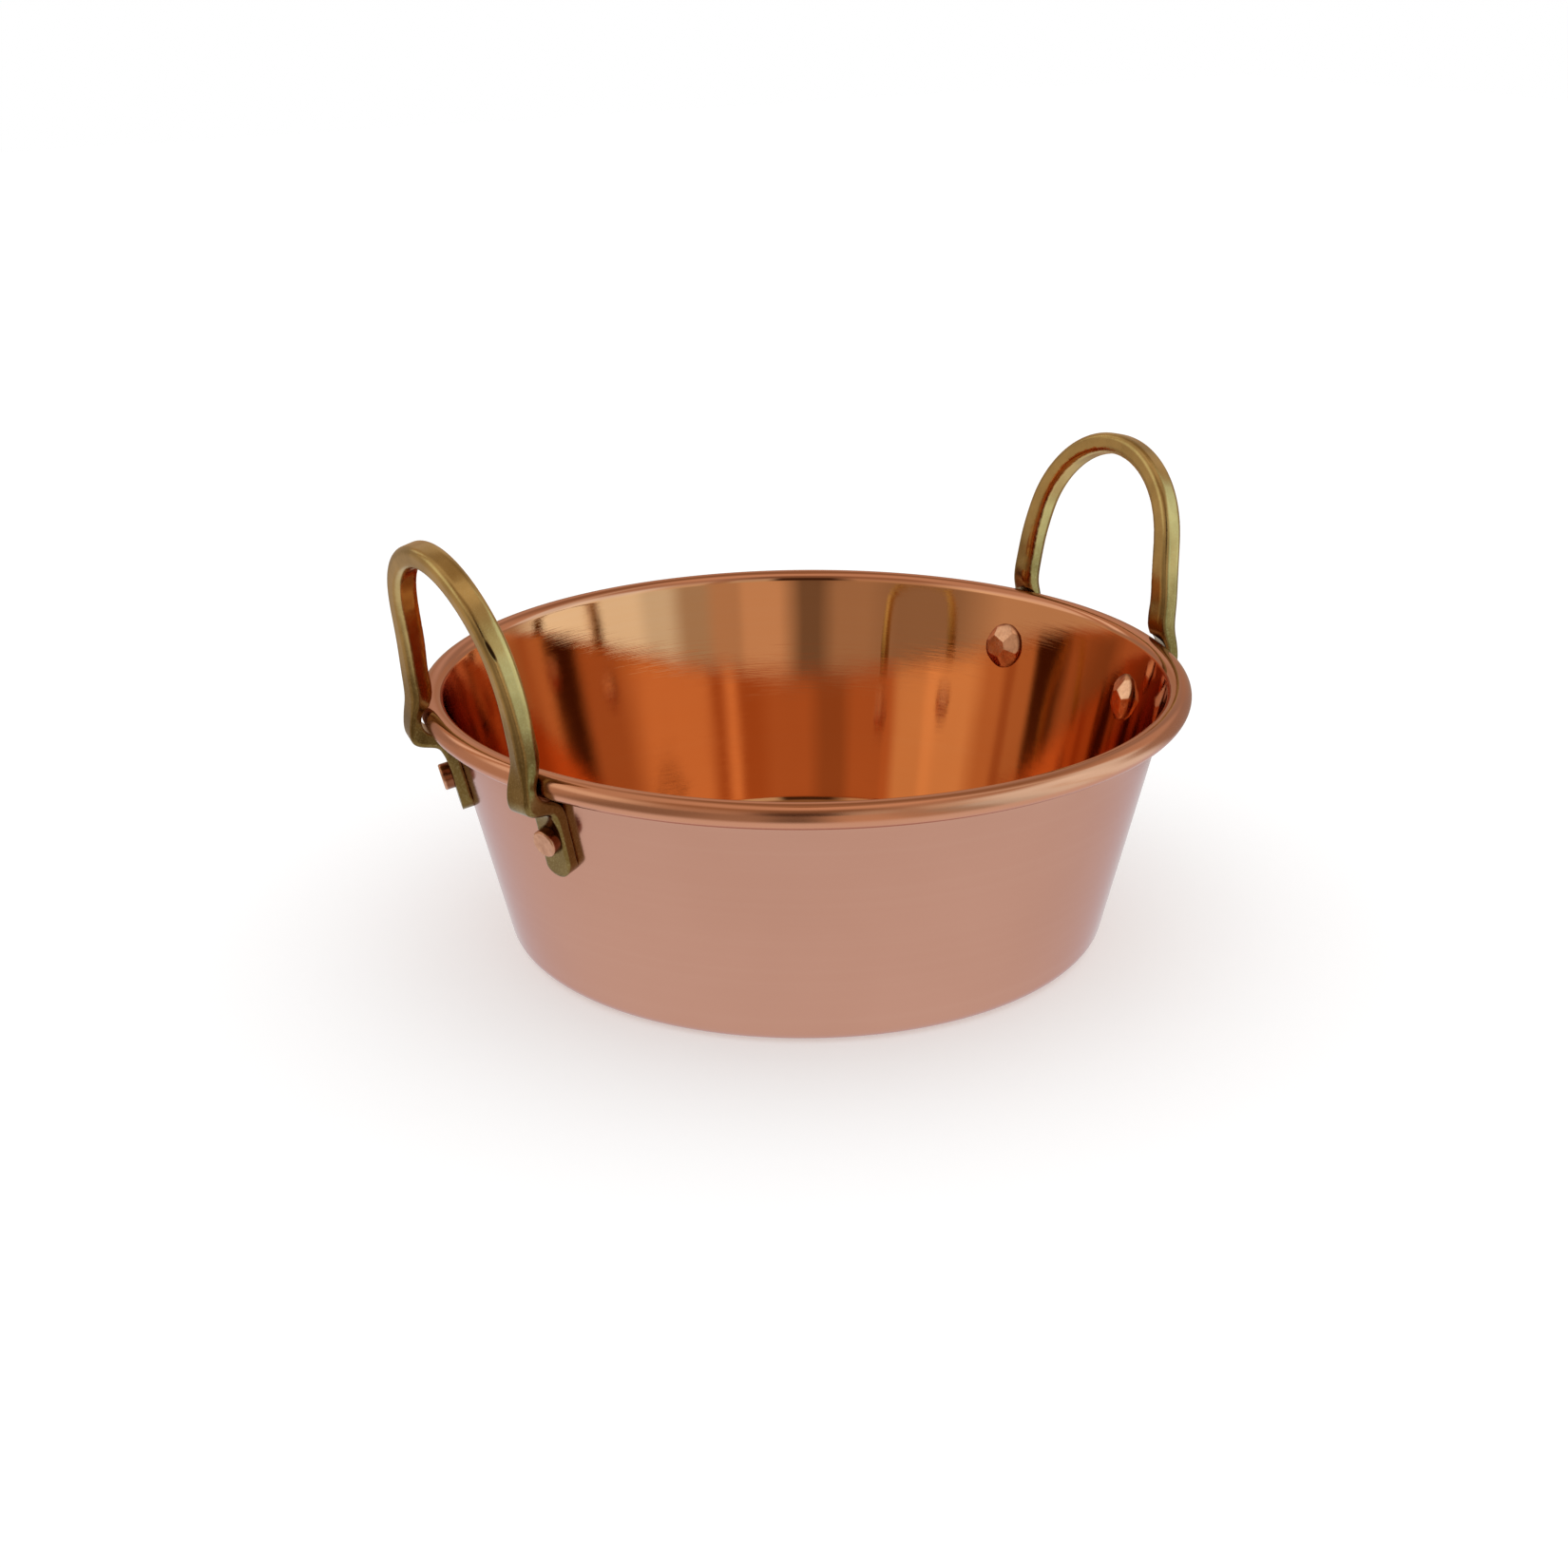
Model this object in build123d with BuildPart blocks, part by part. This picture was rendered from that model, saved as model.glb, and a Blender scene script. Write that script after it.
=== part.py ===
from build123d import *
from math import acos, atan2, cos, degrees, radians, sin, tan
import os

# Copper jam pan: a spun copper bowl with a wired rim, and two cast brass loop handles,
# each held by two copper rivets. Millimetres and degrees. The origin is the middle of the
# base's underside, +Z is up and the handles lie on the X axis.

# Pan body
rim_diameter = 360.0
body_height = 124.8
wall_lean = 13.46
sheet = 1.2
base_corner_radius = 9.5
bead_diameter = 11.4
bead_roll_turn = 315.0

# Rim wire
wire_clearance = 0.05

# Handle loop
handle_rise = 89.1
crown_overhang = 8.1
crown_radius = 49.0
crown_half_turn = 76.2
leg_radius = 202.0
handle_lean = 13.9
leg_bow = 7.0
leg_bow_height = 60.0
grip_width = 10.1
grip_depth = 11.7
grip_corner = 3.4
leg_start_height = 9.5
leg_widening_share = 0.34
leg_thinning_share = 0.2
leg_station_shares = (0.0, 0.28, 0.56, 0.84)
crown_station_shares = (0.92, 0.7, 0.47, 0.235, 0.0)

# Handle knee, where a leg goes round the bead
bead_clearance = 1.4
knee_web = 5.7
knee_corner_web = 8.4
knee_under_web = 6.4
knee_width = 14.4
knee_corner = 2.0
knee_throat = 6.2
heel_slope = 45.0
knee_angles = (-80.0, -45.0, 0.0)
knee_webs = (knee_under_web, knee_corner_web, knee_web)
knee_twist_shares = (0.0, 0.2, 0.5)

# Handle lug, flat on the wall
lug_thickness = 5.5
lug_width = 15.0
lug_corner = 1.3
lug_bite = 0.3
lug_shoulder = 22.0
lug_end_drop = 46.0
lug_steps = 4

# Rivets. They were placed by hand, so each has its own distance below the bead's centre
left_front_drop = 27.0
left_rear_drop = 28.3
right_front_drop = 24.8
right_rear_drop = 23.2
shank_diameter = 7.0
shank_clearance = 0.05
head_diameter = 12.4
head_height = 4.9
head_chamfer = 0.5
spot_clearance = 0.4
spot_depth = 0.2
dome_width = 20.0
dome_length = 23.0
dome_height = 5.4
dome_edge = 1.4

# Cuts run past what they cut by this much
overrun = 30.0

# Each rivet's hammer blows are turned this far on from those of the one before
hammer_spin = 95.0

# Hammer blows on a rivet's inner head: turn about the rivet and tilt from its axis, in
# degrees, and the share of the dome's radius there that the blow has flattened
hammer_blow_shares = [
    (62.0, 10.0, 0.055), (168.0, 24.0, 0.05), (236.0, 26.0, 0.055), (306.0, 28.0, 0.05),
    (8.0, 36.0, 0.05), (112.0, 38.0, 0.045), (200.0, 44.0, 0.045), (268.0, 46.0, 0.05),
    (340.0, 48.0, 0.045), (150.0, 47.0, 0.05),
]

# Sizes that follow
rim_radius = rim_diameter / 2
bead_radius = bead_diameter / 2
bead_reach = rim_radius - bead_radius
bead_height = body_height - bead_radius
lean_sin = sin(radians(wall_lean))
lean_cos = cos(radians(wall_lean))
lean_tan = tan(radians(wall_lean))
crown_height = handle_rise - crown_radius
side_centre_across = (crown_radius - leg_radius) * sin(radians(crown_half_turn))
side_centre_height = crown_height + (crown_radius - leg_radius) * cos(radians(crown_half_turn))
seat_height = lug_thickness - spot_depth


def wall_reach(height, depth=0.0):
    """Distance from the pan's axis to the wall, depth below its outer face."""
    inner_at_bead = bead_reach - bead_radius * lean_cos
    inner = inner_at_bead + (height - bead_height - bead_radius * lean_sin) * lean_tan
    return inner + (sheet - depth) / lean_cos


def leg_reach(rise):
    """Distance of a handle's centre line from the pan's axis, at a rise above the bead."""
    straight = rim_radius + crown_overhang - (handle_rise - rise) * tan(radians(handle_lean))
    return straight + leg_bow * max(0.0, 1.0 - rise / leg_bow_height) ** 2


def spot(turn, reach, across, height):
    """Point at a reach from the axis and a distance across, turned about the axis."""
    return Vector(reach, across, height).rotate(Axis.Z, turn)


leg_across = side_centre_across + (leg_radius**2 - side_centre_height**2) ** 0.5
foot_turn = degrees(atan2(leg_across, leg_reach(0.0)))
lug_end_height = bead_height - (lug_end_drop - lug_width / 2) * lean_cos

# The turn about the axis and the height of each rivet
rivet_places = {
    "left_handle_front_rivet": (180.0 + foot_turn, bead_height - left_front_drop * lean_cos),
    "left_handle_rear_rivet": (180.0 - foot_turn, bead_height - left_rear_drop * lean_cos),
    "right_handle_front_rivet": (-foot_turn, bead_height - right_front_drop * lean_cos),
    "right_handle_rear_rivet": (foot_turn, bead_height - right_rear_drop * lean_cos),
}


def wall_plane(turn, height):
    """Plane on the wall's outer face, facing out, with its local Y up the wall."""
    return Plane(
        origin=spot(turn, wall_reach(height), 0.0, height),
        x_dir=spot(turn, 0.0, 1.0, 0.0),
        z_dir=spot(turn, lean_cos, 0.0, -lean_sin),
    )


# Pan body
def wall_profile():
    """Half section of the sheet: base, corner, wall, and the roll round the wire."""
    corner_reach = wall_reach(base_corner_radius) - base_corner_radius / lean_cos
    corner = (corner_reach, base_corner_radius)
    bead = (bead_reach, bead_height)
    bend = 90.0 - wall_lean
    roll_start = 180.0 - wall_lean
    with BuildLine() as outline:
        outer_base = Line((0.0, 0.0), (corner_reach, 0.0))
        outer_corner = CenterArc(corner, base_corner_radius, -90.0, bend)
        inner_roll = CenterArc(bead, bead_radius - sheet, roll_start, -bead_roll_turn)
        Line(outer_corner @ 1, inner_roll @ 0)
        outer_roll = CenterArc(bead, bead_radius, roll_start, -bead_roll_turn)
        Line(inner_roll @ 1, outer_roll @ 1)
        inner_corner = CenterArc(corner, base_corner_radius - sheet, -90.0, bend)
        Line(outer_roll @ 0, inner_corner @ 1)
        Line(inner_corner @ 0, (0.0, sheet))
        Line((0.0, sheet), outer_base @ 0)
    return outline


def make_pan_body():
    with BuildPart() as pan_body:
        with BuildSketch(Plane.XZ):
            add(wall_profile().line)
            make_face()
        revolve(axis=Axis.Z)
        for turn, height in rivet_places.values():
            with BuildSketch(wall_plane(turn, height)):
                Circle(shank_diameter / 2 + shank_clearance)
            extrude(amount=sheet * 2, both=True, mode=Mode.SUBTRACT)
    pan_body.part.label = "pan_body"
    return pan_body.part


# Rim wire
def make_rim_wire():
    with BuildPart() as rim_wire:
        with BuildSketch(Plane.XZ):
            with Locations((bead_reach, bead_height)):
                Circle(bead_radius - sheet - wire_clearance)
        revolve(axis=Axis.Z)
    rim_wire.part.label = "rim_wire"
    return rim_wire.part


# Handles
def loop_stations(turn):
    """Sections of the loop from one leg's foot over the crown to the other, as plane and size."""
    leg_end = acos((leg_start_height - side_centre_height) / leg_radius)
    crown_end = radians(crown_half_turn)
    leg_angles = [leg_end + (crown_end - leg_end) * share for share in leg_station_shares]
    crown_angles = [crown_end * share for share in crown_station_shares]
    angles = [-angle for angle in leg_angles + crown_angles]
    angles += [-angle for angle in reversed(angles[:-1])]
    for angle in angles:
        side = 1.0 if angle > 0.0 else -1.0
        if abs(angle) > crown_end:
            across = side * (side_centre_across + leg_radius * sin(abs(angle)))
            rise = side_centre_height + leg_radius * cos(angle)
        else:
            across = crown_radius * sin(angle)
            rise = crown_height + crown_radius * cos(angle)
        low_share = (1.0 - rise / handle_rise) ** 2
        bow_slope = -2.0 * leg_bow / leg_bow_height * max(0.0, 1.0 - rise / leg_bow_height)
        lean = tan(radians(handle_lean)) + bow_slope
        plane = Plane(
            origin=spot(turn, leg_reach(rise), across, bead_height + rise),
            x_dir=spot(turn, cos(angle) * lean, sin(angle), cos(angle)),
            z_dir=spot(turn, -sin(angle) * lean, cos(angle), -sin(angle)),
        )
        width = grip_width * (1.0 + leg_widening_share * low_share)
        depth = grip_depth * (1.0 - leg_thinning_share * low_share)
        yield plane, width, depth, grip_corner


def foot_stations(turn, side):
    """Sections of one foot from the lug's end up to the bead, as plane and size."""
    foot = turn + side * foot_turn

    def section(reach, height, slope, twist=0.0):
        frame = foot - side * twist
        return Plane(
            origin=spot(foot, reach, 0.0, height),
            x_dir=spot(frame, 0.0, side, 0.0),
            z_dir=spot(frame, side * -cos(radians(slope)), 0.0, side * -sin(radians(slope))),
        )

    lug_centre = (lug_thickness - lug_bite) / 2
    for step in range(lug_steps + 1):
        drop = lug_end_drop + (lug_shoulder - lug_end_drop) * step / lug_steps
        on_wall = bead_height - drop * lean_cos
        reach = wall_reach(on_wall) + lug_centre * lean_cos
        plane = section(reach, on_wall - lug_centre * lean_sin, 90.0 - wall_lean)
        yield plane, lug_width, lug_thickness + lug_bite, lug_corner
    notch_radius = bead_radius + bead_clearance
    heel_depth = notch_radius + knee_under_web - knee_throat
    heel_height = bead_height - notch_radius - knee_throat
    heel = section(wall_reach(heel_height) + heel_depth / 2, heel_height, heel_slope)
    yield heel, (knee_width + lug_width) / 2, heel_depth, knee_corner
    for angle, web, twist_share in zip(knee_angles, knee_webs, knee_twist_shares):
        centre = (notch_radius + web + knee_throat) / 2
        reach = bead_reach + centre * cos(radians(angle))
        height = bead_height + centre * sin(radians(angle))
        plane = section(reach, height, angle + 90.0, twist_share * foot_turn)
        yield plane, knee_width, notch_radius + web - knee_throat, knee_corner


def make_handle(label, turn):
    first_foot = list(foot_stations(turn, -1.0))
    last_foot = list(foot_stations(turn, 1.0))
    stations = first_foot + list(loop_stations(turn)) + last_foot[::-1]
    with BuildPart() as handle:
        for plane, width, depth, corner in stations:
            with BuildSketch(plane):
                RectangleRounded(width, depth, corner)
        loft()
        # Notch round the bead
        with BuildSketch(Plane.XZ):
            with Locations((bead_reach, bead_height)):
                Circle(bead_radius + bead_clearance)
        revolve(axis=Axis.Z, mode=Mode.SUBTRACT)
        # Seat on the wall
        with BuildSketch(Plane.XZ):
            with BuildLine():
                outside = Line((wall_reach(0.0), 0.0), (wall_reach(bead_height), bead_height))
                Polyline(outside @ 1, (0.0, bead_height), (0.0, 0.0), outside @ 0)
            make_face()
        revolve(axis=Axis.Z, mode=Mode.SUBTRACT)
        # Round end of each lug, then the spot face and hole for its rivet
        for foot, height in (rivet_places[f"{label}_{side}_rivet"] for side in ("front", "rear")):
            with BuildSketch(wall_plane(foot, lug_end_height)):
                with Locations((0.0, -overrun / 2)):
                    Rectangle(overrun, overrun)
                Circle(lug_width / 2, mode=Mode.SUBTRACT)
            extrude(amount=overrun, both=True, mode=Mode.SUBTRACT)
            with BuildSketch(wall_plane(foot, height).offset(seat_height)):
                Circle(head_diameter / 2 + spot_clearance)
            extrude(amount=head_height, mode=Mode.SUBTRACT)
            with BuildSketch(wall_plane(foot, height)):
                Circle(shank_diameter / 2 + shank_clearance)
            extrude(amount=lug_thickness * 2, both=True, mode=Mode.SUBTRACT)
    handle.part.label = label
    return handle.part


# Rivets
def make_rivet(label, turn, height, spin):
    """Rivet through one lug: hammered head in the bowl, shank, and a plain head outside.

    It is made on the X axis, where all four are alike, and then turned to its lug.
    """
    seat = wall_plane(0.0, height).offset(seat_height)
    inside = wall_plane(0.0, height).offset(-sheet)
    crown_rise = dome_height - dome_edge
    sphere_radius = (dome_length**2 / 4 + crown_rise**2) / (2 * crown_rise)
    sphere_centre = inside.origin - inside.z_dir * (dome_height - sphere_radius)
    with BuildPart() as rivet:
        # Dome, its oval outline, then the hammer's flats
        with BuildSketch(Plane(inside.origin, x_dir=inside.y_dir, z_dir=-inside.x_dir)):
            with BuildLine():
                crown = RadiusArc((0.0, dome_height), (dome_length / 2, dome_edge), sphere_radius)
                Polyline(crown @ 1, (dome_length / 2, -sheet / 2), (0.0, -sheet / 2), crown @ 0)
            make_face()
        revolve(axis=Axis(inside.origin, inside.z_dir))
        with BuildSketch(inside):
            Ellipse(dome_width / 2, dome_length / 2)
        extrude(amount=dome_height * 2, both=True, mode=Mode.INTERSECT)
        for blow_turn, tilt, flat_share in hammer_blow_shares:
            direction = radians(blow_turn + spin)
            across = inside.x_dir * cos(direction) + inside.y_dir * sin(direction)
            normal = across * sin(radians(tilt)) - inside.z_dir * cos(radians(tilt))
            flat = Plane(sphere_centre + normal * sphere_radius * (1.0 - flat_share), z_dir=normal)
            split(bisect_by=flat, keep=Keep.BOTTOM)
        # Seat on the wall's inner face
        with BuildSketch(Plane.XZ):
            with BuildLine():
                foot = (wall_reach(0.0, sheet), 0.0)
                inner = Line(foot, (wall_reach(bead_height, sheet), bead_height))
                Polyline(inner @ 1, (0.0, bead_height), (0.0, 0.0), inner @ 0)
            make_face()
        revolve(axis=Axis.Z, mode=Mode.INTERSECT)
        # Shank and outer head
        with BuildSketch(seat):
            Circle(shank_diameter / 2)
        extrude(amount=-(seat_height + sheet + dome_height / 2))
        with BuildSketch(seat):
            Circle(head_diameter / 2)
        extrude(amount=head_height)
        outer_face = rivet.faces().sort_by(Axis(seat.origin, seat.z_dir))[-1]
        chamfer(outer_face.edges(), head_chamfer)
    placed = rivet.part.rotate(Axis.Z, turn)
    placed.label = label
    return placed


os.makedirs("parts", exist_ok=True)
pieces = [
    make_pan_body(),
    make_rim_wire(),
    make_handle("left_handle", 180.0),
    make_handle("right_handle", 0.0),
]
for count, (name, (turn, height)) in enumerate(rivet_places.items()):
    pieces.append(make_rivet(name, turn, height, hammer_spin * count))
for piece in pieces:
    export_step(piece, f"parts/{piece.label}.step")
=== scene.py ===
import math
import bpy
import numpy as np
from mathutils import Matrix, Vector


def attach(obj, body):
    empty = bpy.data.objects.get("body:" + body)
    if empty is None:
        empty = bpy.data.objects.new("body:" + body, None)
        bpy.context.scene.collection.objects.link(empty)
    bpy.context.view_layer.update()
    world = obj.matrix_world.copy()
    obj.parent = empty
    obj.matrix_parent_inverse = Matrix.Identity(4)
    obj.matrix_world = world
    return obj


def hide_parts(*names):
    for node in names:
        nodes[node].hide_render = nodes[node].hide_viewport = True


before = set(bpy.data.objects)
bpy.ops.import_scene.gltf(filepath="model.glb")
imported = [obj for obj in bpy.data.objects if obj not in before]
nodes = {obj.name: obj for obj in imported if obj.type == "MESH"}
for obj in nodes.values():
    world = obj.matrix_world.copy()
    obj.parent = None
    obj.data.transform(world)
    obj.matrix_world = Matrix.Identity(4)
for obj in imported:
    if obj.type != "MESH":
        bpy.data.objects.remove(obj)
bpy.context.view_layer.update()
print("frame loaded:", sorted(nodes))


# small helpers for node trees; most give back the new node's output

def addNode(tree, kind, **settings):
    node = tree.nodes.new(kind)
    for name, setting in settings.items():
        setattr(node, name, setting)
    return node


def feed(tree, socket, value):
    # a socket takes another node's output, a colour, or any other constant
    if isinstance(value, bpy.types.NodeSocket):
        tree.links.new(value, socket)
    elif socket.type == "RGBA":
        socket.default_value = (*value, 1.0)
    else:
        socket.default_value = value


def feedAll(tree, sockets, values):
    for socket, value in zip(sockets, values):
        feed(tree, socket, value)


def mathNode(tree, operation, *values, clamp=False):
    node = addNode(tree, "ShaderNodeMath", operation=operation, use_clamp=clamp)
    feedAll(tree, node.inputs, values)
    return node.outputs[0]


def vectorNode(tree, operation, *values):
    node = addNode(tree, "ShaderNodeVectorMath", operation=operation)
    feedAll(tree, node.inputs, values)
    return node.outputs["Value" if operation in ("LENGTH", "DOT_PRODUCT") else "Vector"]


def splitVector(tree, vector):
    node = addNode(tree, "ShaderNodeSeparateXYZ")
    feed(tree, node.inputs[0], vector)
    return tuple(node.outputs)


def joinVector(tree, x, y, z=0.0):
    node = addNode(tree, "ShaderNodeCombineXYZ")
    feedAll(tree, node.inputs, (x, y, z))
    return node.outputs[0]


def noiseNode(tree, vector, scale, detail, rough):
    node = addNode(tree, "ShaderNodeTexNoise")
    names = ("Vector", "Scale", "Detail", "Roughness")
    feedAll(tree, [node.inputs[name] for name in names], (vector, scale, detail, rough))
    return node.outputs["Fac"]


def rangeNode(tree, value, fromLow, fromHigh, toLow, toHigh):
    node = addNode(tree, "ShaderNodeMapRange")
    names = ("Value", "From Min", "From Max", "To Min", "To Max")
    feedAll(tree, [node.inputs[name] for name in names], (value, fromLow, fromHigh, toLow, toHigh))
    return node.outputs["Result"]


def mixColours(tree, factor, first, second):
    node = addNode(tree, "ShaderNodeMix", data_type="RGBA")
    colours = [socket for socket in node.inputs if socket.type == "RGBA"]
    feedAll(tree, (node.inputs["Factor"], *colours), (factor, first, second))
    return [socket for socket in node.outputs if socket.type == "RGBA"][0]


def mixShaders(tree, factor, first, second):
    node = addNode(tree, "ShaderNodeMixShader")
    feedAll(tree, node.inputs, (factor, first, second))
    return node.outputs[0]


def bumpNode(tree, height, distance, normal=None):
    node = addNode(tree, "ShaderNodeBump")
    names = ("Strength", "Distance", "Height")
    feedAll(tree, [node.inputs[name] for name in names], (1.0, distance, height))
    if normal is not None:
        feed(tree, node.inputs["Normal"], normal)
    return node.outputs[0]


def roundedNormal(tree, radius, samples=6):
    # the surface normal, blended over sharp edges as if they were rounded to this radius
    node = addNode(tree, "ShaderNodeBevel", samples=samples)
    feed(tree, node.inputs["Radius"], radius)
    return node.outputs[0]


def objectPlace(tree):
    return addNode(tree, "ShaderNodeTexCoord").outputs["Object"]


def newMaterial(name):
    mat = bpy.data.materials.new(name)
    mat.use_nodes = True
    mat.node_tree.nodes.clear()
    return mat, mat.node_tree


def newMetal(name):
    mat, tree = newMaterial(name)
    shader = addNode(tree, "ShaderNodeBsdfPrincipled")
    shader.inputs["Metallic"].default_value = 1.0
    feed(tree, addNode(tree, "ShaderNodeOutputMaterial").inputs["Surface"], shader.outputs[0])
    return mat, tree, shader


def addObject(name, data):
    obj = bpy.data.objects.new(name, data)
    bpy.context.scene.collection.objects.link(obj)
    return obj


# In the settings below a noise is (scale, detail, roughness), and a blend is
# (first value, last value, result at the first, result at the last).

# spun copper: the pan's own sheet

spunCopper = {
    "outside": (0.650, 0.344, 0.250),
    "inside": (0.800, 0.380, 0.180),
    "bead": (0.710, 0.335, 0.205),
    "tarnish": (0.330, 0.110, 0.045),
    "bright": (0.80, 0.55, 0.42),
    "edgeTint": (0.84, 0.80, 0.85),  # the colour at a grazing look
    "outsideRough": 0.16,
    "insideRough": 0.030,
    "beadRough": 0.040,
    "anisotropy": 0.5,
    "glintTurn": 0.25,  # glints stretch across the spun lines
    "fineLines": (2400.0, 3.0, 0.7),
    "broadLines": (220.0, 2.0, 0.6),
    "clouds": (9.0, 3.0, 0.5),
    "waves": (24.0, 1.5, 0.5),
    "lineDrift": 0.0006,  # how far the lines wander in a radian round the pan
    "lineDepth": 0.000012,
    "waveDepth": 0.00006,
    "waveStretch": 0.5,  # the waves stand upright
    "insideWaves": 3.0,  # and are this much deeper inside
    "inwardBlend": (-0.02, 0.02, 1.0, 0.0),
    "upwardBlend": (0.5, 0.9, 0.0, 1.0),
    "beadBlend": (0.1688, 0.1694, 0.0, 1.0),  # out here the sheet is part of the bead
    "tarnishBlend": (0.35, 0.80, 0.0, 0.14),
    "brightBlend": (0.45, 0.80, 0.0, 0.05),
    "roughBlend": (0.2, 0.8, 0.85, 1.2),
}


def makeSpunCopper():
    mat, tree, shader = newMetal("spunCopper")
    shader.inputs["Anisotropic"].default_value = spunCopper["anisotropy"]
    shader.inputs["Anisotropic Rotation"].default_value = spunCopper["glintTurn"]
    shader.inputs["Specular Tint"].default_value = (*spunCopper["edgeTint"], 1.0)
    place = objectPlace(tree)
    x, y, z = splitVector(tree, place)
    flat = joinVector(tree, x, y)
    reach = vectorNode(tree, "LENGTH", flat)
    # spun lines: noise on height and reach, with a slow drift round the turn
    turn = mathNode(tree, "ARCTAN2", y, x)
    spun = joinVector(tree, z, reach, mathNode(tree, "MULTIPLY", turn, spunCopper["lineDrift"]))
    fine = noiseNode(tree, spun, *spunCopper["fineLines"])
    broad = noiseNode(tree, spun, *spunCopper["broadLines"])
    cloudy = noiseNode(tree, place, *spunCopper["clouds"])
    # on the inner face the normal points at the axis, or up
    normal = addNode(tree, "ShaderNodeNewGeometry").outputs["True Normal"]
    outward = vectorNode(tree, "DOT_PRODUCT", normal, flat)
    inward = rangeNode(tree, outward, *spunCopper["inwardBlend"])
    upward = rangeNode(tree, splitVector(tree, normal)[2], *spunCopper["upwardBlend"])
    inner = mathNode(tree, "MAXIMUM", inward, upward)
    bead = rangeNode(tree, reach, *spunCopper["beadBlend"])
    tarnish = rangeNode(tree, cloudy, *spunCopper["tarnishBlend"])
    bright = rangeNode(tree, broad, *spunCopper["brightBlend"])
    base = mixColours(tree, inner, spunCopper["outside"], spunCopper["inside"])
    base = mixColours(tree, bead, base, spunCopper["bead"])
    base = mixColours(tree, tarnish, base, spunCopper["tarnish"])
    base = mixColours(tree, bright, base, spunCopper["bright"])
    feed(tree, shader.inputs["Base Color"], base)
    outsideRough, insideRough = spunCopper["outsideRough"], spunCopper["insideRough"]
    beadRougher = rangeNode(tree, bead, 0.0, 1.0, 1.0, spunCopper["beadRough"] / insideRough)
    rough = rangeNode(tree, inner, 0.0, 1.0, outsideRough, insideRough)
    rough = mathNode(tree, "MULTIPLY", rough, beadRougher)
    rough = mathNode(tree, "MULTIPLY", rough, rangeNode(tree, fine, *spunCopper["roughBlend"]))
    feed(tree, shader.inputs["Roughness"], rough)
    # the tangent runs round the pan
    tangent = vectorNode(tree, "CROSS_PRODUCT", (0.0, 0.0, 1.0), flat)
    feed(tree, shader.inputs["Tangent"], vectorNode(tree, "NORMALIZE", tangent))
    upright = vectorNode(tree, "MULTIPLY", place, (1.0, 1.0, spunCopper["waveStretch"]))
    deeper = rangeNode(tree, inner, 0.0, 1.0, 1.0, spunCopper["insideWaves"])
    waves = mathNode(tree, "MULTIPLY", noiseNode(tree, upright, *spunCopper["waves"]), deeper)
    waved = bumpNode(tree, waves, spunCopper["waveDepth"])
    feed(tree, shader.inputs["Normal"], bumpNode(tree, fine, spunCopper["lineDepth"], waved))
    return mat


# the pan: a profile turned about the axis

pan = {
    "rimRadius": 0.180,
    "height": 0.1248,
    "lean": math.radians(13.46),
    "sheet": 0.0012,
    "cornerRadius": 0.0095,
    "beadRadius": 0.0057,
    "rollTurn": math.radians(315.0),
    "stepsRound": 600,
    "cornerPoints": 10,
    "wallPoints": 12,
    "innerRollPoints": 40,
    "outerRollPoints": 56,
    "basePoints": 7,
    "baseStart": 0.02,  # the innermost point of the base, as a share of the flat part
    "sharpAbove": math.radians(40.0),
}


def arcPoints(centre, radius, start, sweep, count):
    # centre plus radius times (cosine, sine) of an angle that runs evenly from start through sweep
    angle = start + sweep * np.linspace(0.0, 1.0, count)
    return np.column_stack((centre[0] + radius * np.cos(angle), centre[1] + radius * np.sin(angle)))


def between(start, end, count):
    # evenly spaced points strictly between two points
    share = np.linspace(0.0, 1.0, count + 2)[1:-1, None]
    return start + (end - start) * share


def panProfile():
    # (reach, height) from the middle of the underside, up the outer face and round the bead's
    # hollow, then back round the bead's skin and down the inner face to the middle
    lean, sheet, bead = pan["lean"], pan["sheet"], pan["beadRadius"]
    cornerRadius = pan["cornerRadius"]
    beadReach = pan["rimRadius"] - bead
    beadHeight = pan["height"] - bead
    innerAtBead = beadReach - bead * math.cos(lean)
    dropToCorner = cornerRadius - beadHeight - bead * math.sin(lean)
    outerAtCorner = innerAtBead + dropToCorner * math.tan(lean) + sheet / math.cos(lean)
    cornerMiddle = (outerAtCorner - cornerRadius / math.cos(lean), cornerRadius)
    corner = (-math.pi / 2, math.pi / 2 - lean, pan["cornerPoints"])
    roll = (math.pi - lean, -pan["rollTurn"])
    outerCorner = arcPoints(cornerMiddle, cornerRadius, *corner)
    innerCorner = arcPoints(cornerMiddle, cornerRadius - sheet, *corner)
    innerRoll = arcPoints((beadReach, beadHeight), bead - sheet, *roll, pan["innerRollPoints"])
    outerRoll = arcPoints((beadReach, beadHeight), bead, *roll, pan["outerRollPoints"])
    outerWall = between(outerCorner[-1], innerRoll[0], pan["wallPoints"])
    innerWall = between(outerRoll[0], innerCorner[-1], pan["wallPoints"])
    baseReach = cornerMiddle[0] * np.linspace(pan["baseStart"], 1.0, pan["basePoints"] + 1)[:-1]
    under = np.column_stack((baseReach, np.zeros_like(baseReach)))
    above = np.column_stack((baseReach[::-1], np.full_like(baseReach, sheet)))
    return np.vstack((
        under, outerCorner, outerWall, innerRoll,
        outerRoll[::-1], innerWall, innerCorner[::-1], above,
    ))


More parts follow.
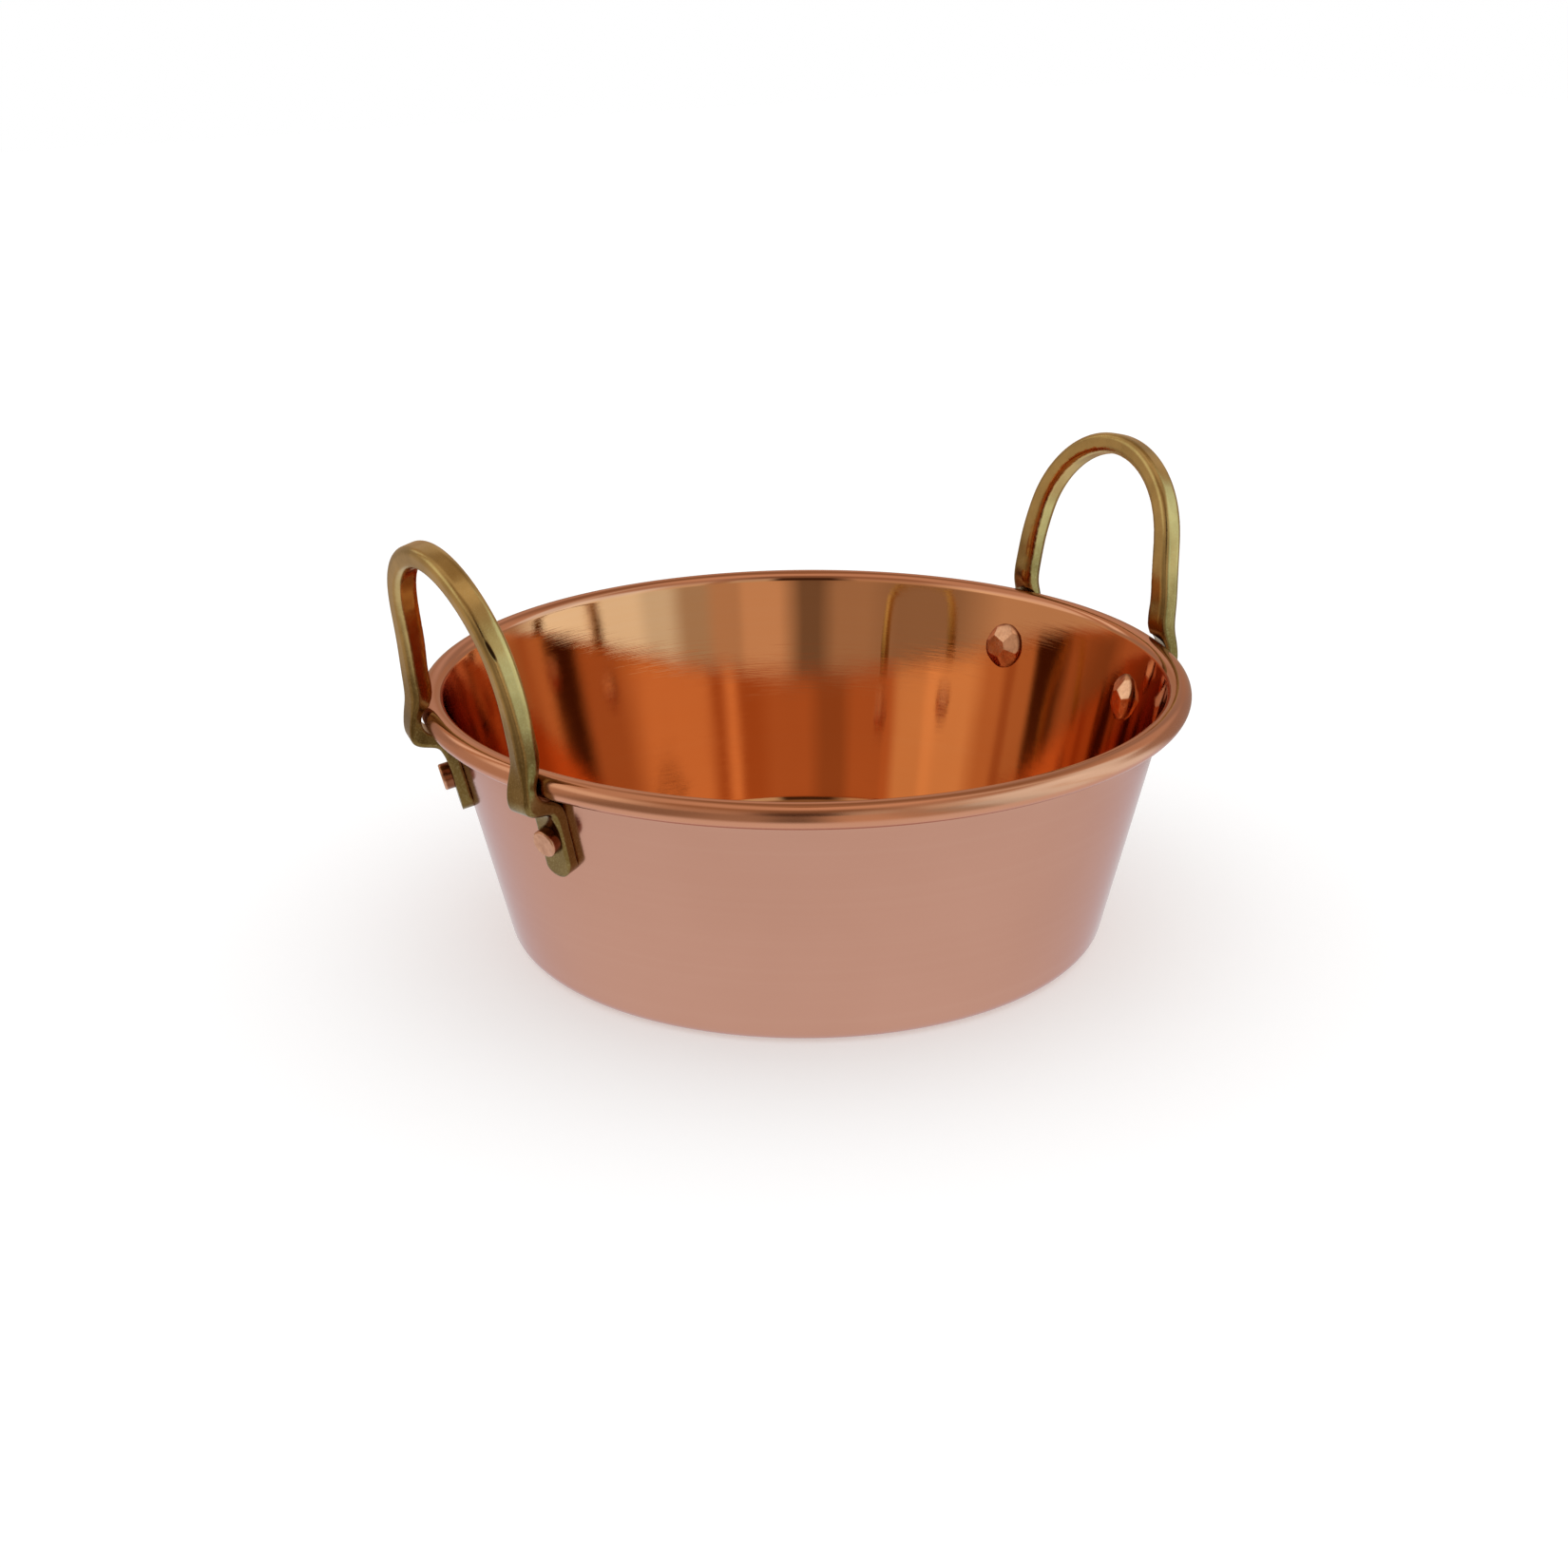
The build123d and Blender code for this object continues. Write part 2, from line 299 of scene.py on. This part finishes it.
def turnedMesh(name, profile, steps):
    # a profile point (reach, height) becomes (reach cos(turn), reach sin(turn), height)
    turn = np.linspace(0.0, 2.0 * np.pi, steps, endpoint=False)
    count = len(profile)
    ring = np.stack(
        (
            profile[None, :, 0] * np.cos(turn)[:, None],
            profile[None, :, 0] * np.sin(turn)[:, None],
            np.broadcast_to(profile[None, :, 1], (steps, count)),
        ),
        axis=-1,
    ).reshape(-1, 3)
    poles = np.array([[0.0, 0.0, profile[0, 1]], [0.0, 0.0, profile[-1, 1]]])
    points = np.vstack((ring, poles))
    i, j = np.meshgrid(np.arange(steps), np.arange(count - 1), indexing="ij")
    a = i * count + j
    b = (i + 1) % steps * count + j
    quads = np.stack((a, b, b + 1, a + 1), axis=-1).reshape(-1, 4)
    # fans of triangles close the middle of the underside and of the inner base
    here = np.arange(steps) * count
    there = (np.arange(steps) + 1) % steps * count
    low = np.column_stack((np.full(steps, len(ring)), there, here))
    high = np.column_stack((np.full(steps, len(ring) + 1), here + count - 1, there + count - 1))
    mesh = bpy.data.meshes.new(name)
    mesh.from_pydata(points.tolist(), [], quads.tolist() + low.tolist() + high.tolist())
    mesh.update()
    return mesh


panMesh = turnedMesh("panShell", panProfile(), pan["stepsRound"])
panMesh.polygons.foreach_set("use_smooth", [True] * len(panMesh.polygons))
panMesh.set_sharp_from_angle(angle=pan["sharpAbove"])
panMesh.materials.append(makeSpunCopper())
panShell = addObject("panShell", panMesh)
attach(panShell, "root")
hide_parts("pan_body")
print("pan shell made:", len(panMesh.polygons), "faces")


def dress(nodeName, material):
    # a CAD node keeps its shape and gets its material
    materials = nodes[nodeName].data.materials
    materials.clear()
    materials.append(material)


# cast brass handles

castBrass = {
    "base": (0.600, 0.425, 0.168),
    "worn": (0.620, 0.520, 0.270),
    # dark colour for the cloudy dull patches, and for the painted shade low down on the handles
    "dullAndShade": (0.190, 0.120, 0.035),
    "cast": (110.0, 3.0, 0.5),
    "grain": (1300.0, 2.0, 0.6),
    "clouds": (45.0, 3.0, 0.6),
    "castDepth": 0.00006,
    "fileDepth": 0.00002,
    "edgeRadius": 0.0010,
    "dullBlend": (0.35, 0.75, 0.0, 0.5),
    "heightBlend": (0.120, 0.165, 0.85, 0.0),  # painted shade low down near the pan's rim, fading out higher up
    "wornBlend": (0.5, 0.75, 0.0, 0.25),
    "roughBlend": (0.3, 0.7, 0.144, 0.234),
    "pitMiddle": (-0.18430, -0.04960, 0.17940),
    "pitWay": (0.291, -0.409, -0.865),
    "pitLong": 0.0056,
    "pitWide": 0.0009,
    "pitBlend": (0.45, 1.1, 1.0, 0.0),
    "pitColour": (0.05, 0.025, 0.01),
    "pitRough": 0.7,
    "pitDepth": 3.0,  # in cast depths
}


def pitMask(tree, place):
    # one in a slit on a leg: an ellipsoid along pitWay, (along / long)^2 + (aside / wide)^2
    away = vectorNode(tree, "SUBTRACT", place, castBrass["pitMiddle"])
    along = vectorNode(tree, "DOT_PRODUCT", away, castBrass["pitWay"])
    size = vectorNode(tree, "LENGTH", away)
    alongSquare = mathNode(tree, "MULTIPLY", along, along)
    aside = mathNode(tree, "SUBTRACT", mathNode(tree, "MULTIPLY", size, size), alongSquare)
    alongShare = mathNode(tree, "DIVIDE", alongSquare, castBrass["pitLong"] ** 2)
    asideShare = mathNode(tree, "DIVIDE", aside, castBrass["pitWide"] ** 2)
    return rangeNode(tree, mathNode(tree, "ADD", alongShare, asideShare), *castBrass["pitBlend"])


def makeCastBrass():
    mat, tree, shader = newMetal("castBrass")
    place = objectPlace(tree)
    cast = noiseNode(tree, place, *castBrass["cast"])
    grain = noiseNode(tree, place, *castBrass["grain"])
    cloudy = noiseNode(tree, place, *castBrass["clouds"])
    pit = pitMask(tree, place)
    clouded = rangeNode(tree, cloudy, *castBrass["dullBlend"])
    # painted shade on the low parts of the handles near the rim, added to the cloudy dulling
    paintedShadeLow = rangeNode(tree, splitVector(tree, place)[2], *castBrass["heightBlend"])
    dullingAndShade = mathNode(tree, "ADD", clouded, paintedShadeLow, clamp=True)
    worn = rangeNode(tree, grain, *castBrass["wornBlend"])
    colour = mixColours(tree, dullingAndShade, castBrass["base"], castBrass["dullAndShade"])
    colour = mixColours(tree, worn, colour, castBrass["worn"])
    colour = mixColours(tree, pit, colour, castBrass["pitColour"])
    feed(tree, shader.inputs["Base Color"], colour)
    rough = rangeNode(tree, cast, *castBrass["roughBlend"])
    pitRough = mathNode(tree, "MULTIPLY", pit, castBrass["pitRough"])
    feed(tree, shader.inputs["Roughness"], mathNode(tree, "MAXIMUM", rough, pitRough))
    pitDrop = mathNode(tree, "MULTIPLY", pit, castBrass["pitDepth"])
    castHeight = mathNode(tree, "SUBTRACT", cast, pitDrop)
    rounded = roundedNormal(tree, castBrass["edgeRadius"])
    castBump = bumpNode(tree, castHeight, castBrass["castDepth"], rounded)
    feed(tree, shader.inputs["Normal"], bumpNode(tree, grain, castBrass["fileDepth"], castBump))
    return mat


brassMaterial = makeCastBrass()
for handleName in ("left_handle", "right_handle"):
    dress(handleName, brassMaterial)
print("handles dressed")


# copper rivets; a blend on "stands" runs over the distance out from the wall's outer face

rivetCopper = {
    "base": (0.72, 0.38, 0.24),
    "hammered": (0.92, 0.52, 0.34),  # the inner heads, brighter from the hammer
    # dark colour for the cloudy spots, and for the painted shade on the heads' sides and feet
    "darkSpotsAndShade": (0.22, 0.07, 0.03),
    "blows": (260.0, 2.0, 0.5),
    "clouds": (150.0, 3.0, 0.6),
    "blowDepth": 0.00015,
    "edgeRadius": 0.0009,
    "footReach": 0.14117,  # where the wall's outer face would meet the base
    "sideShadeBlend": (0.0088, 0.0098, 0.92, 0.0),  # painted shade on the outer head's side, its end left clear
    "outsideBlend": (0.0, 0.001, 0.0, 1.0),
    "insideBlend": (-0.001, 0.0, 1.0, 0.0),
    "seatShadeBlend": (-0.0030, -0.0018, 0.0, 0.8),  # painted shade at the inner head's foot
    "spotBlend": (0.4, 0.7, 0.0, 0.4),
    "roughBlend": (0.3, 0.7, 0.14, 0.28),
}


def standsFromWall(tree, place):
    # (reach - footReach - height tan(lean)) cos(lean)
    x, y, z = splitVector(tree, place)
    reach = vectorNode(tree, "LENGTH", joinVector(tree, x, y))
    fromFoot = mathNode(tree, "SUBTRACT", reach, rivetCopper["footReach"])
    flare = mathNode(tree, "MULTIPLY", z, math.tan(pan["lean"]))
    fromWall = mathNode(tree, "SUBTRACT", fromFoot, flare)
    return mathNode(tree, "MULTIPLY", fromWall, math.cos(pan["lean"]))


def makeRivetCopper():
    mat, tree, shader = newMetal("rivetCopper")
    place = objectPlace(tree)
    blows = noiseNode(tree, place, *rivetCopper["blows"])
    cloudy = noiseNode(tree, place, *rivetCopper["clouds"])
    stands = standsFromWall(tree, place)
    side, outside, inside, seat = (
        rangeNode(tree, stands, *rivetCopper[name])
        for name in ("sideShadeBlend", "outsideBlend", "insideBlend", "seatShadeBlend")
    )
    # painted shade on the outer head's side and at the inner head's foot
    outerPaintedShade = mathNode(tree, "MULTIPLY", side, outside)
    innerPaintedShade = mathNode(tree, "MULTIPLY", seat, inside)
    paintedShade = mathNode(tree, "MAXIMUM", outerPaintedShade, innerPaintedShade)
    spots = rangeNode(tree, cloudy, *rivetCopper["spotBlend"])
    spotsAndShade = mathNode(tree, "ADD", spots, paintedShade, clamp=True)
    clean = mixColours(tree, inside, rivetCopper["base"], rivetCopper["hammered"])
    colour = mixColours(tree, spotsAndShade, clean, rivetCopper["darkSpotsAndShade"])
    feed(tree, shader.inputs["Base Color"], colour)
    feed(tree, shader.inputs["Roughness"], rangeNode(tree, blows, *rivetCopper["roughBlend"]))
    rounded = roundedNormal(tree, rivetCopper["edgeRadius"])
    feed(tree, shader.inputs["Normal"], bumpNode(tree, blows, rivetCopper["blowDepth"], rounded))
    return mat


rivetMaterial = makeRivetCopper()
for rivetName in [name for name in nodes if name.endswith("_rivet")]:
    dress(rivetName, rivetMaterial)
print("rivets dressed")


# the steel wire inside the bead

wireSteel = {
    "colour": (0.33, 0.33, 0.34),
    "marks": (300.0, 2.0, 0.5),
    "roughBlend": (0.3, 0.7, 0.3, 0.45),
}


def makeWireSteel():
    mat, tree, shader = newMetal("wireSteel")
    feed(tree, shader.inputs["Base Color"], wireSteel["colour"])
    marks = noiseNode(tree, objectPlace(tree), *wireSteel["marks"])
    feed(tree, shader.inputs["Roughness"], rangeNode(tree, marks, *wireSteel["roughBlend"]))
    return mat


dress("rim_wire", makeWireSteel())
print("wire dressed")


# floor and studio light

studio = {
    "floorSize": 8.0,
    "floorDrop": 0.0002,  # the floor lies this far under the pan
    "floorTone": 0.76,
    "floorGlow": 0.32,
    "paperGlow": 0.80,  # how bright metal sees the paper round the pan
    "paperBlend": (0.27, 0.37, 0.0, 1.0),  # from the paper to the room past its edge
    "roomPeak": 2.4,  # the ramps are held as shares of this
    "tints": {
        "daylight": (0.76, 0.95, 1.00),
        "paper": (1.00, 0.98, 0.85),
        "plaster": (1.00, 0.79, 0.60),
        "wood": (1.00, 0.68, 0.42),
        "shade": (1.00, 0.52, 0.28),
    },
    # each height fades in over the one below, as a ray's upward part runs through its blend
    "heightBlends": {
        "middle": (0.24, 0.36, 0.0, 1.0),
        "high": (0.60, 0.78, 0.0, 1.0),
        "top": (0.88, 0.96, 0.0, 1.0),
    },
    # what stands round the room at four heights: first and last turn in degrees, tint and light;
    # one thing runs softly into the next
    "low": (
        (0, 22, "plaster", 0.42), (38, 76, "wood", 0.50), (90, 118, "plaster", 0.42),
        (122, 166, "plaster", 0.56), (184, 204, "plaster", 0.31), (216, 226, "plaster", 0.42),
        (232, 238, "plaster", 0.20), (246, 258, "plaster", 0.68), (260, 268, "plaster", 0.54),
        (272, 279, "paper", 0.46), (285, 292, "daylight", 0.96), (297, 310, "daylight", 1.20),
        (312, 314, "paper", 0.80), (317, 334, "daylight", 1.30), (348, 360, "plaster", 0.42),
    ),
    "middle": (
        (0, 22, "plaster", 0.60), (32, 44, "plaster", 0.42), (56, 80, "plaster", 0.62),
        (92, 102, "wood", 0.54), (107, 112, "paper", 1.00), (117, 121, "wood", 0.56),
        (130, 172, "paper", 0.92), (194, 218, "plaster", 0.54), (227, 246, "shade", 0.06),
        (250, 262, "paper", 0.62), (265, 270, "plaster", 0.49), (274, 284, "paper", 0.70),
        (298, 316, "daylight", 1.26), (324, 328, "daylight", 1.40), (332, 348, "daylight", 1.20),
        (356, 360, "plaster", 0.66),
    ),
    "high": (
        (0, 4, "plaster", 0.50), (18, 72, "wood", 0.34), (100, 160, "plaster", 0.62),
        (182, 212, "wood", 0.40), (224, 254, "wood", 0.30), (280, 330, "plaster", 0.54),
        (338, 348, "paper", 0.70), (358, 360, "plaster", 0.50),
    ),
    "top": (
        (0, 10, "plaster", 0.58), (35, 70, "wood", 0.42), (110, 190, "plaster", 0.68),
        (230, 350, "plaster", 0.75), (359, 360, "plaster", 0.58),
    ),
}


def turnShare(tree, x, y):
    # the turn about the upright axis, from 0 to 1
    turn = mathNode(tree, "ARCTAN2", y, x)
    return mathNode(tree, "FRACT", mathNode(tree, "MULTIPLY_ADD", turn, 0.5 / math.pi, 1.0))


def roomRamp(tree, share, height):
    # a stop where each thing starts and one where it ends; a new ramp has two stops already
    node = addNode(tree, "ShaderNodeValToRGB")
    stops = node.color_ramp.elements
    ends = [
        (turn, tint, light)
        for first, last, tint, light in studio[height]
        for turn in (first, last)
    ]
    for number, (turn, tint, light) in enumerate(ends):
        if number < 2:
            stop = stops[number]
            stop.position = turn / 360.0
        else:
            stop = stops.new(turn / 360.0)
        strength = light / studio["roomPeak"]
        stop.color = (*(part * strength for part in studio["tints"][tint]), 1.0)
    feed(tree, node.inputs[0], share)
    return node.outputs[0]


def seenByMetal(tree):
    # one for a mirror ray or a ray through glass
    path = addNode(tree, "ShaderNodeLightPath").outputs
    return mathNode(tree, "MAXIMUM", path["Is Glossy Ray"], path["Is Transmission Ray"])


def makeFloorPaper():
    mat, tree = newMaterial("floorPaper")
    paper = addNode(tree, "ShaderNodeBsdfDiffuse")
    feed(tree, paper.inputs["Color"], (studio["floorTone"],) * 3)
    glow = addNode(tree, "ShaderNodeEmission")
    glow.inputs["Strength"].default_value = studio["floorGlow"]
    lit = addNode(tree, "ShaderNodeAddShader")
    feedAll(tree, lit.inputs, (paper.outputs[0], glow.outputs[0]))
    # what metal sees in the floor: white paper round the pan, then the room's low light
    place = objectPlace(tree)
    x, y, _ = splitVector(tree, place)
    edge = rangeNode(tree, vectorNode(tree, "LENGTH", place), *studio["paperBlend"])
    white = (studio["paperGlow"] / studio["roomPeak"],) * 3
    seen = addNode(tree, "ShaderNodeEmission")
    seen.inputs["Strength"].default_value = studio["roomPeak"]
    far = roomRamp(tree, turnShare(tree, x, y), "low")
    feed(tree, seen.inputs["Color"], mixColours(tree, edge, white, far))
    isCamera = addNode(tree, "ShaderNodeLightPath").outputs["Is Camera Ray"]
    surface = mixShaders(tree, isCamera, paper.outputs[0], lit.outputs[0])
    surface = mixShaders(tree, seenByMetal(tree), surface, seen.outputs[0])
    feed(tree, addNode(tree, "ShaderNodeOutputMaterial").inputs["Surface"], surface)
    mat.cycles.emission_sampling = "NONE"
    return mat


def makeFloor():
    half, drop = studio["floorSize"] / 2, studio["floorDrop"]
    signs = ((-1, -1), (1, -1), (1, 1), (-1, 1))
    corners = [(half * i, half * j, -drop) for i, j in signs]
    mesh = bpy.data.meshes.new("studioFloor")
    mesh.from_pydata(corners, [], [(0, 1, 2, 3)])
    mesh.materials.append(makeFloorPaper())
    addObject("studioFloor", mesh)


def makeWorld():
    world = bpy.data.worlds.new("studioWorld")
    bpy.context.scene.world = world
    world.use_nodes = True
    tree = world.node_tree
    tree.nodes.clear()
    x, y, rise = splitVector(tree, addNode(tree, "ShaderNodeTexCoord").outputs["Generated"])
    share = turnShare(tree, x, y)
    light = roomRamp(tree, share, "low")
    for height, heightBlend in studio["heightBlends"].items():
        blend = rangeNode(tree, rise, *heightBlend)
        light = mixColours(tree, blend, light, roomRamp(tree, share, height))
    room = addNode(tree, "ShaderNodeBackground")
    feedAll(tree, room.inputs, (light, studio["roomPeak"]))
    white = addNode(tree, "ShaderNodeBackground")
    feedAll(tree, white.inputs, ((1.0, 1.0, 1.0), 1.0))
    surface = mixShaders(tree, seenByMetal(tree), white.outputs[0], room.outputs[0])
    feed(tree, addNode(tree, "ShaderNodeOutputWorld").inputs["Surface"], surface)
    world.cycles.sampling_method = "NONE"  # so that every ray takes its own side of the mix


makeFloor()
makeWorld()
print("studio ready")


# camera solved from the photograph

photoCamera = {
    "lens": 54.34,
    "sensor": 36.0,
    "clip": (0.01, 50.0),
    "distance": 1.06094,
    "height": 0.46676,
    "pitch": 0.3601,
    "yaw": -0.0097,
    "roll": -0.0098,
    "turn": math.radians(-32.91),
}


def makeCamera():
    pitch, yaw, roll = photoCamera["pitch"], photoCamera["yaw"], photoCamera["roll"]
    level = math.cos(pitch)
    ahead = Vector((math.sin(yaw) * level, math.cos(yaw) * level, -math.sin(pitch)))
    across = ahead.cross(Vector((0.0, 0.0, 1.0))).normalized()
    above = across.cross(ahead)
    right = across * math.cos(roll) + above * math.sin(roll)
    up = above * math.cos(roll) - across * math.sin(roll)
    spin = Matrix.Rotation(photoCamera["turn"], 3, "Z")
    axes = Matrix((spin @ right, spin @ up, spin @ -ahead)).transposed()
    data = bpy.data.cameras.new("photoCamera")
    data.sensor_fit = "HORIZONTAL"
    data.sensor_width = photoCamera["sensor"]
    data.lens = photoCamera["lens"]
    data.clip_start, data.clip_end = photoCamera["clip"]
    camera = addObject("photoCamera", data)
    camera.rotation_mode = "QUATERNION"
    camera.location = spin @ Vector((0.0, -photoCamera["distance"], photoCamera["height"]))
    camera.rotation_quaternion = axes.to_quaternion()
    bpy.context.scene.camera = camera


makeCamera()
bpy.context.scene.view_settings.view_transform = "Standard"
bpy.context.scene.cycles.glossy_bounces = 10  # light goes round the polished bowl many times
print("camera ready")
